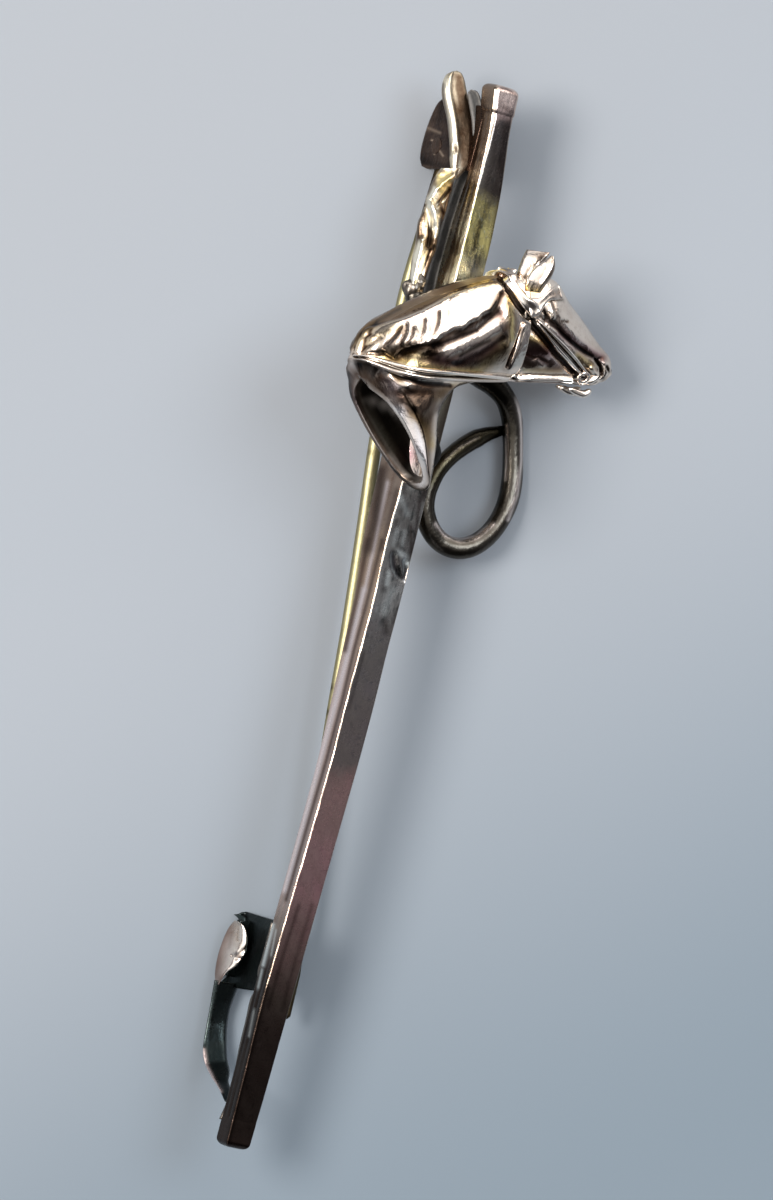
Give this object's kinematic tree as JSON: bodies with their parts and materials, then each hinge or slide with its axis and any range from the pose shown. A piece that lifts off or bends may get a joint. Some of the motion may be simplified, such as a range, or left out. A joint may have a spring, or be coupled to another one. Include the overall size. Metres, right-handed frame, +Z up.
{
  "type": "horse brooch",
  "caption": "Whip-shaped bar brooch with a bridled horse head, a twisted lash and wire loop, and a hinged pin with a hook catch behind.",
  "frame": {"origin": "middle of the footprint, on the surface that the brooch lies on", "axes": "+Z up from the surface, +Y along the stock from the catch's end to the hinge's end, +X to the side that the horse looks to; the brooch lies rolled 33.7 degrees on to that side"},
  "size_m": [0.0132, 0.0554, 0.0117],
  "materials": {
    "worn_gold": "worn polish with dark tarnish and grey solder stains",
    "pin_wire": "bright pale yellow, lightly scratched",
    "rivet_metal": "dull tarnish"
  },
  "bodies": {
    "brooch": {"brooch_body": "worn_gold", "hinge_rivet": "rivet_metal"},
    "pin": {"pin_stem": "pin_wire"}
  },
  "joints": [
    {"name": "pin_swing", "type": "hinge", "parent": "brooch", "child": "pin", "pos_m": [-0.00426, 0.0238, 0.00135], "axis": [0.832, 0, -0.5548], "range_deg": [0, 80]}
  ]
}
